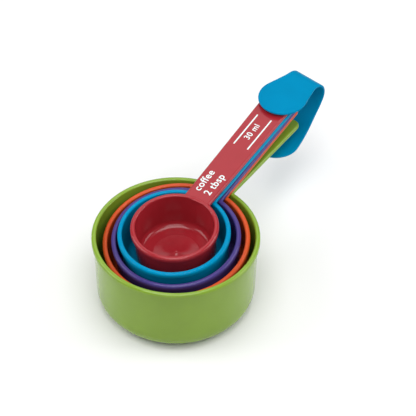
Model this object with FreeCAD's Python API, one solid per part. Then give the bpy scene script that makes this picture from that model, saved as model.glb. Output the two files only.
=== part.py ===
import FreeCAD, Part

import os
from math import asin, atan, cos, degrees, pi, radians, sin, sqrt, tan

# A nesting set of five measuring cups, held together by a soft plastic strap that snaps
# through the hanging holes at the ends of the handles. Millimetres, +Z up. The origin is
# the centre of the largest cup's base, which stands on z = 0, and +X runs along the handles.

V = FreeCAD.Vector

# Bowls: a lip round the mouth, a drafted wall, a rounded bottom corner and a flat floor.
WALL = 1.5
LIP_OUT = 1.1
LIP_HEIGHT = 2.6
LIP_ROUND = 1.4
MOUTH_ROUND = 0.7
FLOOR = 2.0

# Handles: a flat bar whose underside is a shallow channel, with a ring round the hole.
HANDLE_ROOT_WIDTH = 15.8
HANDLE_DROP = 0.2
HANDLE_THICK = 1.8
HANDLE_END_X = 112.2
HANDLE_END_BULGE = 0.8
CORNER_ROUND = 4.0
EDGE_ROUND = 1.2
ROOT_FLARE = 3.0
ROOT_BITE = 0.95
CHANNEL_DEPTH = 0.7
CHANNEL_MARGIN = 1.9
HOLE_X = 105.0
HOLE_R = 4.5
HOLE_RING = 1.4

# Capacity in millilitres, outer radius of the lip, radius of the bottom corner, draft of the
# wall in degrees, and width of the handle at its far end.
CUPS = {
    "one_cup": (245.0, 46.0, 11.0, 2.6, 19.2),
    "half_cup": (118.0, 40.3, 7.0, 2.6, 17.8),
    "third_cup": (79.0, 35.4, 6.0, 2.6, 18.4),
    "quarter_cup": (59.0, 30.9, 5.5, 2.6, 18.4),
    "coffee_scoop": (29.6, 24.2, 5.0, 3.5, 18.4),
}

# The cups lie loose in each other. Each inner one leans on the rim below it on the handle
# side, so it tips, and turns a little about the stud. Places are from the middle of the
# largest cup's mouth: x, y and height of the mouth's centre, then y and height of its
# plane at the hanging hole.
NEST = {
    "one_cup": (0.0, 0.0, 0.0, 0.0, 0.0),
    "half_cup": (0.2, -0.1, -3.1, 0.1, 10.0),
    "third_cup": (-0.5, -0.4, -0.2, 0.4, 12.2),
    "quarter_cup": (-1.6, 0.2, 4.1, 0.6, 14.4),
    "coffee_scoop": (-1.3, 0.0, 8.5, 1.1, 16.8),
}

# Strap: a thin moulded band with a round lobe at each end, bent back over the handles.
STRAP_THICK = 1.3
STRAP_TURN = -6.5
STRAP_SIDE = -0.6
LOBE_R = 13.5
BAND_HALF = 9.3
BEND_X = 123.4
FLAP_TOP = 18.9
BEND_R = 9.0
BEND_SWEEP = radians(124)
STRAP_HEIGHT = 30.0
UPPER_LOBE_X = 106.7
LOWER_LOBE_X = 101.0
FLAP_GAP = 0.25

# Snap: a hollow stud stands on the lower lobe, and a plug under the flap enters it.
STUD_Y = 0.4
STUD_R = 3.1
STUD_BORE_R = 1.95
STUD_BORE_DEPTH = 4.0
STUD_FOOT_R = 5.0
STUD_FOOT_THICK = 0.8
STUD_GAP = 0.3
PLUG_R = 1.4
PLUG_LENGTH = 3.0


def bowl_depth(capacity_ml, lip_r, corner, draft):
    """Inside depth that holds the capacity: a cone frustum less its rounded floor corner."""
    top = lip_r - LIP_OUT - WALL
    inner_corner = corner - WALL
    depth = capacity_ml * 1000 / (pi * top**2)
    for _ in range(20):
        bottom = top - depth * tan(draft)
        ring = 2 * pi * bottom * (1 - pi / 4) * inner_corner**2
        mean_area = pi * (top**2 + top * bottom + bottom**2) / 3
        depth = (capacity_ml * 1000 + ring) / mean_area
    return depth


def corner_points(r, z, radius, draft):
    """Start, middle and end of the arc that joins a drafted wall to a flat floor at z.

    r is the radius at which the wall's line would meet the floor."""
    turn = pi / 2 - draft
    setback = radius * tan(turn / 2)
    centre_r = r - setback
    start = V(r + setback * sin(draft), 0, z + setback * cos(draft))
    middle_angle = turn / 2
    middle = V(centre_r + radius * sin(middle_angle), 0, z + radius * (1 - cos(middle_angle)))
    end = V(centre_r, 0, z)
    return start, middle, end


def bowl(capacity_ml, lip_r, corner, draft):
    """The bowl about the Z axis, with the centre of its mouth at the origin."""
    depth = bowl_depth(capacity_ml, lip_r, corner, draft)
    height = depth + FLOOR
    out_top = lip_r - LIP_OUT
    in_top = out_top - WALL
    outer = corner_points(out_top - height * tan(draft), -height, corner, draft)
    inner = corner_points(in_top - depth * tan(draft), -depth, corner - WALL, draft)
    lip_mid = LIP_ROUND * (1 - sin(pi / 4))
    mouth_mid = MOUTH_ROUND * (1 - sin(pi / 4))
    under_lip = V(out_top - LIP_HEIGHT * tan(draft), 0, -LIP_HEIGHT)
    lip_foot = V(lip_r, 0, -LIP_HEIGHT)
    lip_side = V(lip_r, 0, -LIP_ROUND)
    lip_top = V(lip_r - LIP_ROUND, 0, 0)
    mouth_top = V(in_top + MOUTH_ROUND, 0, 0)
    mouth_side = V(in_top - MOUTH_ROUND * tan(draft), 0, -MOUTH_ROUND)
    edges = [
        Part.makeLine(V(0, 0, -height), outer[2]),
        Part.Arc(outer[2], outer[1], outer[0]).toShape(),
        Part.makeLine(outer[0], under_lip),
        Part.makeLine(under_lip, lip_foot),
        Part.makeLine(lip_foot, lip_side),
        Part.Arc(lip_side, V(lip_r - lip_mid, 0, -lip_mid), lip_top).toShape(),
        Part.makeLine(lip_top, mouth_top),
        Part.Arc(mouth_top, V(in_top + mouth_mid, 0, -mouth_mid), mouth_side).toShape(),
        Part.makeLine(mouth_side, inner[0]),
        Part.Arc(inner[0], inner[1], inner[2]).toShape(),
        Part.makeLine(inner[2], V(0, 0, -depth)),
        Part.makeLine(V(0, 0, -depth), V(0, 0, -height)),
    ]
    return Part.Face(Part.Wire(edges)).revolve(V(0, 0, 0), V(0, 0, 1), 360)


def handle_outline(lip_r, width, end_x, inset, z):
    """The handle's plan: it flares into the lip, widens outwards and ends in a shallow bow."""
    root = HANDLE_ROOT_WIDTH / 2 - inset
    tip = width / 2 - inset
    seat = lip_r - ROOT_BITE
    reach = seat + ROOT_FLARE
    flare_x = sqrt(reach**2 - (root + ROOT_FLARE) ** 2)
    k = seat / reach
    on_lip = V(k * flare_x, k * (root + ROOT_FLARE), z)
    toward = V(on_lip.x - flare_x, on_lip.y - root - ROOT_FLARE, 0)
    bisector = toward.normalize() + V(0, -1, 0)
    bisector.normalize()
    flare_mid = V(flare_x, root + ROOT_FLARE, z) + bisector * ROOT_FLARE
    start = V(flare_x, root, z)
    end = V(end_x - inset - HANDLE_END_BULGE, tip, z)

    def other(p):
        return V(p.x, -p.y, z)

    edges = [
        Part.Arc(on_lip, flare_mid, start).toShape(),
        Part.makeLine(start, end),
        Part.Arc(end, V(end_x - inset, 0, z), other(end)).toShape(),
        Part.makeLine(other(end), other(start)),
        Part.Arc(other(start), other(flare_mid), other(on_lip)).toShape(),
        Part.makeLine(other(on_lip), on_lip),
    ]
    return Part.Face(Part.Wire(edges))


def upright_edges(solid, x_min):
    """Vertical edges of a flat bar beyond x_min."""
    found = []
    for edge in solid.Edges:
        a, b = edge.Vertexes[0].Point, edge.Vertexes[-1].Point
        upright = abs(a.z - b.z) > 0.1 and abs(a.x - b.x) < 0.01 and abs(a.y - b.y) < 0.01
        if upright and a.x > x_min:
            found.append(edge)
    return found


def handle(lip_r, width, end_x, hole_x):
    """The handle in the bowl's own frame, without its hole."""
    low = -HANDLE_DROP - HANDLE_THICK
    bar = handle_outline(lip_r, width, end_x, 0, low).extrude(V(0, 0, HANDLE_THICK))
    bar = bar.makeFillet(CORNER_ROUND, upright_edges(bar, end_x - CORNER_ROUND))
    boxes = [(edge, edge.BoundBox) for edge in bar.Edges]
    top = [e for e, box in boxes if box.ZMin > -HANDLE_DROP - 0.01 and box.XMax > lip_r + ROOT_FLARE]
    bar = bar.makeFillet(EDGE_ROUND, top)
    channel = handle_outline(lip_r, width, end_x, CHANNEL_MARGIN, low).extrude(V(0, 0, CHANNEL_DEPTH))
    beyond_root = Part.makeBox(end_x, 2 * width, HANDLE_THICK, V(lip_r + CHANNEL_MARGIN, -width, low))
    ring = Part.makeCylinder(HOLE_R + HOLE_RING, HANDLE_THICK, V(hole_x, 0, low))
    return bar.cut(channel.common(beyond_root).cut(ring))


def cup(name):
    """One cup with its handle, in place."""
    capacity, lip_r, corner, draft, width = CUPS[name]
    x, y, z, far_y, far_z = NEST[name]
    reach = HOLE_X - x
    tip = atan((far_z - z) / reach)
    turn = asin((far_y - y) / reach)
    hole_x = reach / cos(tip)
    end_x = (HANDLE_END_X - x) / cos(tip)
    body = bowl(capacity, lip_r, corner, radians(draft))
    body = body.fuse(handle(lip_r, width, end_x, hole_x)).removeSplitter()
    body = body.cut(Part.makeCylinder(HOLE_R, 4 * HANDLE_THICK, V(hole_x, 0, -3 * HANDLE_THICK)))
    body.rotate(V(0, 0, 0), V(0, 1, 0), -degrees(tip))
    body.rotate(V(0, 0, 0), V(0, 0, 1), degrees(turn))
    body.translate(V(x, y, MOUTH_Z + z))
    return body.Solids[0]


def strap_outline(lobe_x, x_far, z):
    """The strap's plan from its round lobe to x_far, where it has become a plain band.

    The strap hangs a little to one side of its stud."""
    run = BEND_X - lobe_x
    lean = (LOBE_R - BAND_HALF) / run
    side = LOBE_R * sqrt(1 - lean**2)
    shoulder = V(lobe_x + LOBE_R * lean, side, z)
    neck = V(BEND_X, BAND_HALF, z)
    far = V(x_far, BAND_HALF, z)

    def other(p):
        return V(p.x, -p.y, z)

    edges = [
        Part.Arc(other(shoulder), V(lobe_x - LOBE_R, 0, z), shoulder).toShape(),
        Part.makeLine(shoulder, neck),
        Part.makeLine(neck, far),
        Part.makeLine(far, other(far)),
        Part.makeLine(other(far), other(neck)),
        Part.makeLine(other(neck), other(shoulder)),
    ]
    plan = Part.Face(Part.Wire(edges))
    plan.translate(V(0, STRAP_SIDE, 0))
    return plan


def strap_bend(top):
    """The base's side view, from the hinge line round the bend to the end of the lower lobe."""
    rest = pi - BEND_SWEEP
    low = top - STRAP_HEIGHT
    drop = BEND_R * (1 - cos(BEND_SWEEP))
    slow_r = (STRAP_HEIGHT - drop) / (1 - cos(rest))
    centre = V(BEND_X, 0, top - BEND_R)
    turn_x = BEND_X + BEND_R * sin(BEND_SWEEP)
    slow = V(turn_x - slow_r * sin(rest), 0, low + slow_r)
    lobe_end = LOWER_LOBE_X - LOBE_R - 1

    def on(c, r, angle):
        return V(c.x + r * sin(angle), 0, c.z + r * cos(angle))

    def arc(c, r, first, last):
        return Part.Arc(on(c, r, first), on(c, r, (first + last) / 2), on(c, r, last)).toShape()

    def side(inset):
        tight, wide = BEND_R - inset, slow_r - inset
        end = on(slow, wide, pi)
        return [
            arc(centre, tight, FLAP_GAP / BEND_R, BEND_SWEEP),
            arc(slow, wide, BEND_SWEEP, pi),
            Part.makeLine(end, V(lobe_end, 0, end.z)),
        ]

    outer, inner = side(0), side(STRAP_THICK)
    start = Part.makeLine(outer[0].Vertexes[0].Point, inner[0].Vertexes[0].Point)
    stop = Part.makeLine(V(lobe_end, 0, low), V(lobe_end, 0, low + STRAP_THICK))
    return Part.Face(Part.Wire(Part.__sortEdges__(outer + inner + [start, stop])))


def strap_base():
    """Lower lobe, bend and hollow stud, in one moulding."""
    top = MOUTH_Z + FLAP_TOP
    low = top - STRAP_HEIGHT
    bend = strap_bend(top)
    bend.translate(V(0, -2 * LOBE_R, 0))
    band = bend.extrude(V(0, 4 * LOBE_R, 0))
    plan = strap_outline(LOWER_LOBE_X, BEND_X + BEND_R + 1, low - 1)
    body = band.common(plan.extrude(V(0, 0, STRAP_HEIGHT + 2)))
    stud_top = top - STRAP_THICK - STUD_GAP
    foot_z = low + STRAP_THICK / 2
    stud = Part.makeCylinder(STUD_R, stud_top - foot_z, V(HOLE_X, 0, foot_z))
    foot = Part.makeCylinder(STUD_FOOT_R, STRAP_THICK / 2 + STUD_FOOT_THICK, V(HOLE_X, 0, foot_z))
    bore = Part.makeCylinder(STUD_BORE_R, STUD_BORE_DEPTH, V(HOLE_X, 0, stud_top - STUD_BORE_DEPTH))
    return body.fuse([stud, foot]).cut(bore).Solids[0]


def strap_flap():
    """Upper lobe with the plug under it, up to the line where the strap bends open."""
    top = MOUTH_Z + FLAP_TOP
    under = top - STRAP_THICK
    plate = strap_outline(UPPER_LOBE_X, BEND_X + 1, under).extrude(V(0, 0, STRAP_THICK))
    blank = 4 * LOBE_R
    plate = plate.common(Part.makeBox(blank, blank, STRAP_THICK, V(BEND_X - blank, -blank / 2, under)))
    plug = Part.makeCylinder(PLUG_R, PLUG_LENGTH, V(HOLE_X, 0, under - PLUG_LENGTH))
    return plate.fuse(plug).removeSplitter().Solids[0]


def save(name, shape):
    print(name, shape.isValid(), round(shape.Volume), shape.BoundBox)
    shape.exportStep(f"parts/{name}.step")


MOUTH_Z = bowl_depth(*CUPS["one_cup"][:3], radians(CUPS["one_cup"][3])) + FLOOR

os.makedirs("parts", exist_ok=True)
for cup_name in CUPS:
    save(cup_name, cup(cup_name))
for part_name, make in (("strap_base", strap_base), ("strap_flap", strap_flap)):
    piece = make()
    piece.rotate(V(HOLE_X, 0, 0), V(0, 0, 1), STRAP_TURN)
    piece.translate(V(0, STUD_Y, 0))
    save(part_name, piece)
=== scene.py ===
from math import asin, atan, cos, pi, radians, sin, sqrt

import bmesh
import bpy
from mathutils import Matrix, Vector


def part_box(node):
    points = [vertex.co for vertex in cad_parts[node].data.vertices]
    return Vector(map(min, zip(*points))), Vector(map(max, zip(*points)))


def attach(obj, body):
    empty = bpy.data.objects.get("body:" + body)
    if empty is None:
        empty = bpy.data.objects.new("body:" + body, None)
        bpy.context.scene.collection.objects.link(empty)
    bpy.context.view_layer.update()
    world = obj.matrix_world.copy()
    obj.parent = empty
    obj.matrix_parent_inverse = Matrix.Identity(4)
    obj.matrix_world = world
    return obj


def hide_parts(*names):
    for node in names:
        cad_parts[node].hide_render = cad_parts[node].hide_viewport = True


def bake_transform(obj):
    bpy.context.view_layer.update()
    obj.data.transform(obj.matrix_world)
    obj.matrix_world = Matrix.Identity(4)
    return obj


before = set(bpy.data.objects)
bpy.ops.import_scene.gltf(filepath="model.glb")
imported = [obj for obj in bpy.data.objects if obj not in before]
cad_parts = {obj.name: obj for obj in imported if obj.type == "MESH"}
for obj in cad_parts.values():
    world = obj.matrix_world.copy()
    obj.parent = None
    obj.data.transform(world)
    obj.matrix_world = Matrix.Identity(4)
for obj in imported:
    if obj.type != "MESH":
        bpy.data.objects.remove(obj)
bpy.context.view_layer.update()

# A nest of five measuring cups on a soft snap strap. Lengths are in metres.
MM = 0.001

# Driving dimensions, the same as the model's
MOUTH_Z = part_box("one_cup")[1].z
HOLE_X = 105.0 * MM
HANDLE_TOP = -0.2 * MM

STRAP_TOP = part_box("strap_flap")[1].z
STRAP_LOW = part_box("strap_base")[0].z
STRAP_SIDE = -0.6 * MM
STRAP_TURN = radians(-6.5)
STRAP_THICK = 1.3 * MM
LOBE_R = 13.5 * MM
UPPER_LOBE_X = 106.7 * MM
LOWER_LOBE_X = 101.0 * MM
BAND_HALF = 9.3 * MM
BEND_X = 123.4 * MM
BEND_R = 9.0 * MM
BEND_SWEEP = radians(124)

STUD_Y = 0.4 * MM
STUD_R = 3.1 * MM
STUD_BORE_R = 1.95 * MM
STUD_BORE_DEPTH = 4.0 * MM
STUD_FOOT_R = 5.0 * MM
STUD_FOOT_THICK = 0.8 * MM
STUD_GAP = 0.3 * MM
PLUG_R = 1.4 * MM
PLUG_LENGTH = 3.0 * MM

# The strap's softer shapes: rounding of its rim, and how gently its lobes run into the band
STRAP_RIM = 0.45 * MM
NECK_SOFT = 0.6 * MM

# Linear colours of the mouldings and the print
GREEN = (0.195, 0.318, 0.025)
ORANGE = (0.54, 0.072, 0.017)
PURPLE = (0.060, 0.040, 0.190)
BLUE = (0.0, 0.230, 0.430)
RED = (0.32, 0.016, 0.024)
STRAP_BLUE = (0.0, 0.200, 0.380)
INK = (0.68, 0.80, 0.80)
THIN_INK = (0.70, 0.78, 0.78)


def shader_node(tree, kind, **values):
    """A new node, with its inputs or settings given by name."""
    node = tree.nodes.new(kind)
    for key, value in values.items():
        name = key.replace("_", " ")
        if name in node.inputs:
            node.inputs[name].default_value = value
        else:
            setattr(node, key, value)
    return node


def plastic(name, colour, level, roughness=0.15, subsurface=0.12, grain=0.006 * MM):
    """Moulded plastic: faint clouding in the colour, uneven gloss and a fine moulded grain.

    level is how strongly it mirrors and grain is how deep its surface is roughened."""
    fleck, gloss_spread = 0.04, 0.02
    material = bpy.data.materials.new(name)
    material.use_nodes = True
    tree = material.node_tree
    link = tree.links.new
    shader = tree.nodes["Principled BSDF"]
    shader.inputs["IOR"].default_value = 1.49
    shader.inputs["Specular IOR Level"].default_value = level
    shader.inputs["Subsurface Weight"].default_value = subsurface
    shader.inputs["Subsurface Radius"].default_value = [0.2 + 0.8 * c for c in colour]
    shader.inputs["Subsurface Scale"].default_value = 1.2 * MM
    place = shader_node(tree, "ShaderNodeTexCoord")

    cloud = shader_node(tree, "ShaderNodeTexNoise", Scale=55.0, Detail=3.0, Roughness=0.55)
    link(place.outputs["Object"], cloud.inputs["Vector"])
    shade = shader_node(tree, "ShaderNodeValToRGB")
    shade.color_ramp.elements[0].position = 0.32
    shade.color_ramp.elements[0].color = [c * (1 - fleck) for c in colour] + [1]
    shade.color_ramp.elements[1].position = 0.70
    shade.color_ramp.elements[1].color = [min(1, c * (1 + fleck)) for c in colour] + [1]
    link(cloud.outputs["Fac"], shade.inputs["Fac"])
    link(shade.outputs["Color"], shader.inputs["Base Color"])

    patches = shader_node(tree, "ShaderNodeTexNoise", Scale=140.0, Detail=2.0, Roughness=0.5)
    link(place.outputs["Object"], patches.inputs["Vector"])
    gloss = shader_node(tree, "ShaderNodeMapRange")
    gloss.inputs["From Min"].default_value = 0.3
    gloss.inputs["From Max"].default_value = 0.7
    gloss.inputs["To Min"].default_value = roughness - gloss_spread
    gloss.inputs["To Max"].default_value = roughness + gloss_spread
    link(patches.outputs["Fac"], gloss.inputs["Value"])
    link(gloss.outputs["Result"], shader.inputs["Roughness"])

    fine = shader_node(tree, "ShaderNodeTexNoise", Scale=2600.0, Detail=2.0, Roughness=0.5)
    link(place.outputs["Object"], fine.inputs["Vector"])
    bump = shader_node(tree, "ShaderNodeBump", Strength=0.35, Distance=grain)
    link(fine.outputs["Fac"], bump.inputs["Height"])
    link(bump.outputs["Normal"], shader.inputs["Normal"])
    return material


def new_mesh(name, bm, material, angle=40):
    """A smooth-shaded object from bm, with edges sharper than angle kept."""
    bmesh.ops.recalc_face_normals(bm, faces=bm.faces)
    mesh = bpy.data.meshes.new(name)
    bm.to_mesh(mesh)
    bm.free()
    mesh.materials.append(material)
    mesh.shade_smooth()
    mesh.set_sharp_from_angle(angle=radians(angle))
    piece = bpy.data.objects.new(name, mesh)
    bpy.context.scene.collection.objects.link(piece)
    return piece


# ---- strap ----

def lobe_half(x, lobe_x):
    """Half width of the strap's plan at x, on the side whose round lobe is centred at lobe_x."""
    lean = (LOBE_R - BAND_HALF) / (BEND_X - lobe_x)
    shoulder_x = lobe_x + LOBE_R * lean
    shoulder_y = LOBE_R * sqrt(1 - lean**2)
    if x >= shoulder_x:
        taper = (shoulder_y - BAND_HALF) * (BEND_X - x) / (BEND_X - shoulder_x)
        return BAND_HALF + (taper + sqrt(taper**2 + NECK_SOFT**2)) / 2
    return sqrt(max(0, LOBE_R**2 - (x - lobe_x) ** 2))


def edge_distance(x, y, lobe_x):
    """How far a point of the plan lies inside the strap's outline."""
    if x < lobe_x:
        return LOBE_R - sqrt((x - lobe_x) ** 2 + y**2)
    return lobe_half(x, lobe_x) - abs(y)


def strap_stations():
    """Points along the strap's middle surface: (x, z, normal angle, lobe_x). Angle 0 points up."""
    tip_steps, band_steps, crease_steps, bend_steps, slow_steps = 40, 24, 12, 64, 48
    crease = 2 * MM
    mid_r = BEND_R - STRAP_THICK / 2
    drop = BEND_R * (1 - cos(BEND_SWEEP))
    slow_r = (STRAP_TOP - STRAP_LOW - drop) / (1 - cos(pi - BEND_SWEEP))
    slow_mid_r = slow_r - STRAP_THICK / 2
    slow_x = BEND_X + (BEND_R - slow_r) * sin(BEND_SWEEP)
    upper_z = STRAP_TOP - STRAP_THICK / 2
    lower_z = STRAP_LOW + STRAP_THICK / 2
    out = []

    # upper lobe, then the flap up to its crease, which needs closer points
    for i in range(tip_steps + 1):
        x = UPPER_LOBE_X - LOBE_R * cos(pi / 2 * i / tip_steps)
        out.append((x, upper_z, 0.0, UPPER_LOBE_X))
    for i in range(1, band_steps + 1):
        x = UPPER_LOBE_X + (BEND_X - crease - UPPER_LOBE_X) * i / band_steps
        out.append((x, upper_z, 0.0, UPPER_LOBE_X))
    for i in range(1, crease_steps):
        out.append((BEND_X - crease + crease * i / crease_steps, upper_z, 0.0, UPPER_LOBE_X))

    # tight bend, then the slow bend down to the lower lobe
    for i in range(bend_steps + 1):
        a = BEND_SWEEP * i / bend_steps
        out.append((BEND_X + mid_r * sin(a), STRAP_TOP - BEND_R + mid_r * cos(a), a, LOWER_LOBE_X))
    for i in range(1, slow_steps + 1):
        a = BEND_SWEEP + (pi - BEND_SWEEP) * i / slow_steps
        z = STRAP_LOW + slow_r + slow_mid_r * cos(a)
        out.append((slow_x + slow_mid_r * sin(a), z, a, LOWER_LOBE_X))

    # lower lobe
    tip = LOWER_LOBE_X - LOBE_R
    for i in range(1, tip_steps + 1):
        x = tip + (slow_x - tip) * (1 - sin(pi / 2 * i / tip_steps))
        out.append((x, lower_z, pi, LOWER_LOBE_X))
    return out


def strap_columns():
    """Places across the strap from -1 to 1, close together at the edges."""
    half = 22
    return [sin(pi / 2 * j / half) for j in range(-half, half + 1)]


def build_strap(material):
    """One band from lobe to lobe, with its rim rounded over."""
    columns = strap_columns()
    bm = bmesh.new()
    rings = []
    for x, z, a, lobe_x in strap_stations():
        half = lobe_half(x, lobe_x)
        outer, inner = [], []
        for k in columns:
            y = half * k
            inside = max(0, min(STRAP_RIM, edge_distance(x, y, lobe_x)))
            swell = STRAP_THICK / 2 - STRAP_RIM + sqrt(STRAP_RIM**2 - (STRAP_RIM - inside) ** 2)
            for row, side in ((outer, 1), (inner, -1)):
                off = side * swell
                row.append(bm.verts.new((x + off * sin(a), y + STRAP_SIDE, z + off * cos(a))))
        rings.append((outer, inner))
    last = len(columns) - 1
    for (o1, i1), (o2, i2) in zip(rings, rings[1:]):
        for j in range(last):
            bm.faces.new((o1[j], o1[j + 1], o2[j + 1], o2[j]))
            bm.faces.new((i1[j + 1], i1[j], i2[j], i2[j + 1]))
        bm.faces.new((o1[0], o2[0], i2[0], i1[0]))
        bm.faces.new((o2[last], o1[last], i1[last], i2[last]))
    for outer, inner in (rings[0], rings[-1]):
        for j in range(last):
            bm.faces.new((outer[j], outer[j + 1], inner[j + 1], inner[j]))
    bmesh.ops.remove_doubles(bm, verts=bm.verts, dist=0.002 * MM)
    bmesh.ops.dissolve_degenerate(bm, edges=bm.edges, dist=0.001 * MM)
    turn_strap(bm)
    return new_mesh("strap", bm, material, 60)


def turn_strap(bm):
    """Turns mesh data from the strap's own frame to where the strap hangs."""
    pivot = Vector((HOLE_X, 0, 0))
    moved = Vector((HOLE_X, STUD_Y, 0))
    matrix = Matrix.Translation(moved) @ Matrix.Rotation(STRAP_TURN, 4, "Z") @ Matrix.Translation(-pivot)
    bmesh.ops.transform(bm, matrix=matrix, verts=bm.verts)


def lathe(bm, profile, segments, x=0.0):
    """Adds the solid of revolution of profile, (radius, z) points that begin and end on the axis."""
    rings = []
    for r, z in profile:
        if r == 0:
            rings.append([bm.verts.new((x, 0, z))] * segments)
            continue
        ring = []
        for s in range(segments):
            a = 2 * pi * s / segments
            ring.append(bm.verts.new((x + r * cos(a), r * sin(a), z)))
        rings.append(ring)
    for low, high in zip(rings, rings[1:]):
        for s in range(segments):
            t = (s + 1) % segments
            corners = [low[s], low[t], high[t], high[s]]
            bm.faces.new(list(dict.fromkeys(corners)))


def build_stud(material):
    """Hollow stud with a chamfered mouth, on a domed foot that grows out of the lower lobe."""
    low = STRAP_LOW + STRAP_THICK * 0.6
    top = STRAP_TOP - STRAP_THICK - STUD_GAP
    foot = STRAP_LOW + STRAP_THICK + STUD_FOOT_THICK
    bore = STUD_BORE_R
    profile = [
        (0, low), (STUD_FOOT_R - 0.4 * MM, low), (STUD_FOOT_R, foot - 0.5 * MM),
        (STUD_FOOT_R - 0.2 * MM, foot - 0.15 * MM), (STUD_FOOT_R - 0.6 * MM, foot),
        (STUD_R + 0.4 * MM, foot), (STUD_R + 0.1 * MM, foot + 0.12 * MM), (STUD_R, foot + 0.4 * MM),
        (STUD_R, top - 0.5 * MM), (STUD_R - 0.1 * MM, top - 0.15 * MM), (STUD_R - 0.4 * MM, top),
        (bore + 0.25 * MM, top), (bore + 0.05 * MM, top - 0.15 * MM), (bore, top - 0.4 * MM),
        (bore, top - STUD_BORE_DEPTH), (0, top - STUD_BORE_DEPTH),
    ]
    bm = bmesh.new()
    lathe(bm, profile, 64, HOLE_X)
    turn_strap(bm)
    return new_mesh("stud", bm, material, 50)


def build_plug(material):
    """Round-nosed plug under the flap, which presses into the stud."""
    high = STRAP_TOP - STRAP_THICK * 0.6
    under = STRAP_TOP - STRAP_THICK
    tip = under - PLUG_LENGTH
    profile = [
        (0, tip), (PLUG_R - 0.6 * MM, tip), (PLUG_R - 0.25 * MM, tip + 0.1 * MM),
        (PLUG_R - 0.05 * MM, tip + 0.35 * MM), (PLUG_R, tip + 0.7 * MM), (PLUG_R, under - 0.3 * MM),
        (PLUG_R + 0.1 * MM, under - 0.1 * MM), (PLUG_R + 0.4 * MM, under), (PLUG_R + 0.4 * MM, high),
        (0, high),
    ]
    bm = bmesh.new()
    lathe(bm, profile, 48, HOLE_X)
    turn_strap(bm)
    return new_mesh("plug", bm, material, 50)


def make_strap():
    """The strap as one band from lobe to lobe, with its stud on the strap's body and its plug on the
    flap's, in place of the model's strap parts.
    """
    material = plastic("soft_blue", STRAP_BLUE, 0.02, roughness=0.42, subsurface=0.2, grain=0.03 * MM)
    strap = build_strap(material)
    stud = build_stud(material)
    plug = build_plug(material)
    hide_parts("strap_base", "strap_flap")
    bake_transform(strap)
    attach(stud, "strap")
    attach(plug, "flap")


# ---- cups ----

# Colour of each cup and how strongly its surface mirrors
CUP_COLOURS = {
    "one_cup": (GREEN, 0.4),
    "half_cup": (ORANGE, 0.25),
    "third_cup": (PURPLE, 0.25),
    "quarter_cup": (BLUE, 0.06),
    "coffee_scoop": (RED, 0.4),
}

# Where each cup sits: centre of its mouth from the largest one's, then side and height at
# the hanging hole, all in millimetres
NEST = {
    "one_cup": (0.0, 0.0, 0.0, 0.0, 0.0),
    "half_cup": (0.2, -0.1, -3.1, 0.1, 10.0),
    "third_cup": (-0.5, -0.4, -0.2, 0.4, 12.2),
    "quarter_cup": (-1.6, 0.2, 4.1, 0.6, 14.4),
    "coffee_scoop": (-1.3, 0.0, 8.5, 1.1, 16.8),
}

# Depth of each bowl below its mouth and radius of the shallow disc moulded in its floor,
# in millimetres
FLOORS = {
    "one_cup": (44.27, 28.0),
    "half_cup": (27.67, 26.0),
    "third_cup": (24.45, 22.0),
    "quarter_cup": (24.64, 19.0),
    "coffee_scoop": (21.73, 13.0),
}


def cup_frame(name):
    """From a cup's own frame, mouth at the origin and handle along +X, to where it sits."""
    x, y, z, far_y, far_z = NEST[name]
    reach = HOLE_X / MM - x
    tip = Matrix.Rotation(-atan((far_z - z) / reach), 4, "Y")
    turn = Matrix.Rotation(asin((far_y - y) / reach), 4, "Z")
    return Matrix.Translation((x * MM, y * MM, MOUTH_Z + z * MM)) @ turn @ tip


def make_floor_mark(cup, material):
    """The shallow disc in a bowl's floor, with its raised rim and a gate scar in the middle."""
    depth, radius = FLOORS[cup]
    sunk, low, step, scar = -0.3, 0.02, 0.16, 0.25
    profile = [
        (0, sunk), (radius, sunk), (radius, step - 0.04), (radius - 0.15, step),
        (radius - 0.6, step), (radius - 1.0, low), (1.5, low), (1.2, scar - 0.05),
        (1.0, scar), (0.6, scar), (0.3, low), (0, low),
    ]
    bm = bmesh.new()
    lathe(bm, [(r * MM, (z - depth) * MM) for r, z in profile], 96)
    bmesh.ops.transform(bm, matrix=cup_frame(cup), verts=bm.verts)
    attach(new_mesh("floor_mark_" + cup, bm, material, 50), cup)


def finish_cups():
    for node, (colour, level) in CUP_COLOURS.items():
        material = plastic(node + "_plastic", colour, level)
        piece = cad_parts[node]
        piece.data.materials.clear()
        piece.data.materials.append(material)
        make_floor_mark(node, material)


# ---- printing ----

def ink_material():
    material = bpy.data.materials.new("white_ink")
    material.use_nodes = True
    tree = material.node_tree
    link = tree.links.new
    shader = tree.nodes["Principled BSDF"]
    place = shader_node(tree, "ShaderNodeTexCoord")
    speckle = shader_node(tree, "ShaderNodeTexNoise", Scale=1800.0, Detail=2.0, Roughness=0.5)
    link(place.outputs["Object"], speckle.inputs["Vector"])
    ramp = shader_node(tree, "ShaderNodeValToRGB")
    ramp.color_ramp.elements[0].position = 0.30
    ramp.color_ramp.elements[0].color = THIN_INK + (1,)
    ramp.color_ramp.elements[1].position = 0.55
    ramp.color_ramp.elements[1].color = INK + (1,)
    link(speckle.outputs["Fac"], ramp.inputs["Fac"])
    link(ramp.outputs["Color"], shader.inputs["Base Color"])
    shader.inputs["Roughness"].default_value = 0.45
    return material


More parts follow.
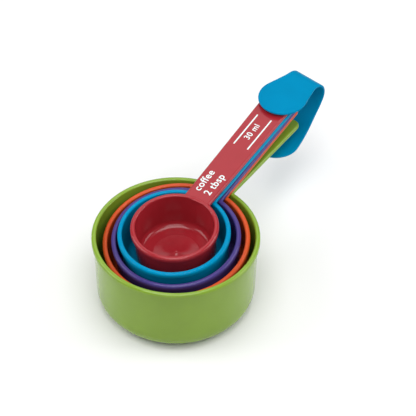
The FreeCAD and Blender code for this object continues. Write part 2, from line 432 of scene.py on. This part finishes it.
def print_words(name, words, cup, x, y, size, material):
    """Printed words on top of a handle, centred at (x, y) millimetres in the cup's frame."""
    curve = bpy.data.curves.new(name, "FONT")
    curve.body = words
    curve.size = size * MM
    curve.offset = 0.012 * size * MM
    curve.space_character = 1.08
    curve.extrude = 0.01 * MM
    curve.align_x = "CENTER"
    curve.align_y = "CENTER"
    curve.resolution_u = 6
    source = bpy.data.objects.new(name + "_source", curve)
    bpy.context.scene.collection.objects.link(source)
    graph = bpy.context.evaluated_depsgraph_get()
    mesh = bpy.data.meshes.new_from_object(source.evaluated_get(graph))
    bpy.data.objects.remove(source)
    mesh.transform(cup_frame(cup) @ Matrix.Translation((x * MM, y * MM, HANDLE_TOP + 0.02 * MM)))
    mesh.materials.clear()
    mesh.materials.append(material)
    piece = bpy.data.objects.new(name, mesh)
    bpy.context.scene.collection.objects.link(piece)
    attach(piece, cup)


def print_rule(name, cup, x, y, length, width, material):
    """A printed line along a handle, with round ends, in millimetres in the cup's frame."""
    end_steps = 8
    outline = []
    for end in (1, -1):
        for i in range(end_steps + 1):
            a = -pi / 2 + pi * i / end_steps
            reach = length / 2 + width / 2 * cos(a)
            outline.append(Vector((x + end * reach, y + end * width / 2 * sin(a), 0)) * MM)
    bm = bmesh.new()
    rings = []
    for lift in (0.01 * MM, 0.03 * MM):
        level = Vector((0, 0, HANDLE_TOP + lift))
        rings.append([bm.verts.new(point + level) for point in outline])
    low, high = rings
    bm.faces.new(high)
    bm.faces.new(list(reversed(low)))
    for i in range(len(outline)):
        k = (i + 1) % len(outline)
        bm.faces.new((low[i], low[k], high[k], high[i]))
    bmesh.ops.transform(bm, matrix=cup_frame(cup), verts=bm.verts)
    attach(new_mesh(name, bm, material), cup)


def make_printing():
    """Each handle says what its cup holds, near the bowl and again near the hole."""
    ink = ink_material()
    near_x, far_x, rule_y = 36.3, 79.5, 4.4
    print_words("words_coffee", "coffee", "coffee_scoop", near_x, 3.7, 6.1, ink)
    print_words("words_2_tbsp", "2 tbsp", "coffee_scoop", near_x, -2.8, 6.1, ink)
    print_words("words_30_ml", "30 ml", "coffee_scoop", far_x, 0.3, 5.0, ink)
    print_rule("rule_upper", "coffee_scoop", far_x, rule_y, 24.0, 0.8, ink)
    print_rule("rule_lower", "coffee_scoop", far_x, -rule_y, 24.0, 0.8, ink)
    for cup, words, millilitres, x in (
        ("quarter_cup", "1/4 cup", "60 ml", 43),
        ("third_cup", "1/3 cup", "80 ml", 47),
        ("half_cup", "1/2 cup", "120 ml", 53),
        ("one_cup", "1 cup", "240 ml", 60),
    ):
        print_words("words_" + cup, words, cup, x, 0, 5.6, ink)
        print_words("words_ml_" + cup, millilitres, cup, 84, 0, 5.0, ink)


# ---- studio ----

FLOOR_HALF = 3.0
FLOOR_GREY = 0.80


def make_floor():
    bm = bmesh.new()
    bmesh.ops.create_grid(bm, x_segments=1, y_segments=1, size=FLOOR_HALF)
    material = bpy.data.materials.new("pale_floor")
    material.use_nodes = True
    shader = material.node_tree.nodes["Principled BSDF"]
    shader.inputs["Base Color"].default_value = (FLOOR_GREY, FLOOR_GREY, FLOOR_GREY, 1)
    shader.inputs["Roughness"].default_value = 0.7
    new_mesh("floor", bm, material)


def area_light(name, place, target, size, power):
    """A softbox of the given width and height that faces target."""
    lamp = bpy.data.lights.new(name, "AREA")
    lamp.shape = "RECTANGLE"
    lamp.size, lamp.size_y = size
    lamp.energy = power
    lamp_object = bpy.data.objects.new(name, lamp)
    lamp_object.location = place
    lamp_object.rotation_euler = (Vector(target) - Vector(place)).to_track_quat("-Z", "Y").to_euler()
    bpy.context.scene.collection.objects.link(lamp_object)


# The camera stands far off and looks down at the nest, with the handles away to the right
VIEW_AZIMUTH = radians(-56.9)
VIEW_ELEVATION = radians(44.8)
VIEW_DISTANCE = 4.0
VIEW_WIDTH = 226.928 * MM
SENSOR = 36


def view_axes():
    """The camera's right, up and backward directions."""
    a, e = VIEW_AZIMUTH, VIEW_ELEVATION
    back = Vector((sin(a) * cos(e), -cos(a) * cos(e), sin(e)))
    right = Vector((cos(a), sin(a), 0))
    return right, back.cross(right), back


def make_camera():
    right, up, back = view_axes()
    nest_middle = Vector((0.0155, -0.003, 0.034))
    aim = nest_middle + right * 0.0065 + up * 0.0157
    camera = bpy.data.cameras.new("camera")
    camera.sensor_width = SENSOR
    camera.lens = SENSOR * VIEW_DISTANCE / VIEW_WIDTH
    camera.clip_start = 0.05
    holder = bpy.data.objects.new("camera", camera)
    holder.location = aim + back * VIEW_DISTANCE
    holder.rotation_mode = "QUATERNION"
    holder.rotation_quaternion = back.to_track_quat("Z", "Y")
    bpy.context.scene.collection.objects.link(holder)
    bpy.context.scene.camera = holder


def make_lights():
    """Softboxes on both sides, above, in front and behind, placed from the camera's directions."""
    right, _, back = view_axes()
    near = Vector((back.x, back.y, 0)).normalized()
    up = Vector((0, 0, 1))
    centre = Vector((0.03, 0, 0.03))

    # Metres to the right of the nest, towards the camera and up, then size and watts
    boxes = (
        ("left_box", -0.66, -0.02, 0.42, (0.5, 0.6), 3.0),
        ("right_box", 0.66, -0.02, 0.42, (0.5, 0.6), 3.0),
        ("top_box", 0.0, 0.12, 0.85, (0.6, 0.5), 4.2),
        ("front_box", 0.0, 0.75, 0.85, (0.7, 0.5), 3.6),
        ("back_box", 0.0, -0.8, 0.8, (0.8, 0.6), 1.9),
    )
    for name, aside, towards, rise, size, power in boxes:
        place = centre + right * aside + near * towards + up * rise
        area_light(name, place, centre, size, power)
    world = bpy.data.worlds.new("studio")
    world.use_nodes = True
    world.node_tree.nodes["Background"].inputs["Color"].default_value = (1, 1, 1, 1)
    world.node_tree.nodes["Background"].inputs["Strength"].default_value = 0.22
    bpy.context.scene.world = world


make_strap()
finish_cups()
make_printing()
make_floor()
make_camera()
make_lights()

bpy.context.scene.view_settings.view_transform = "Standard"
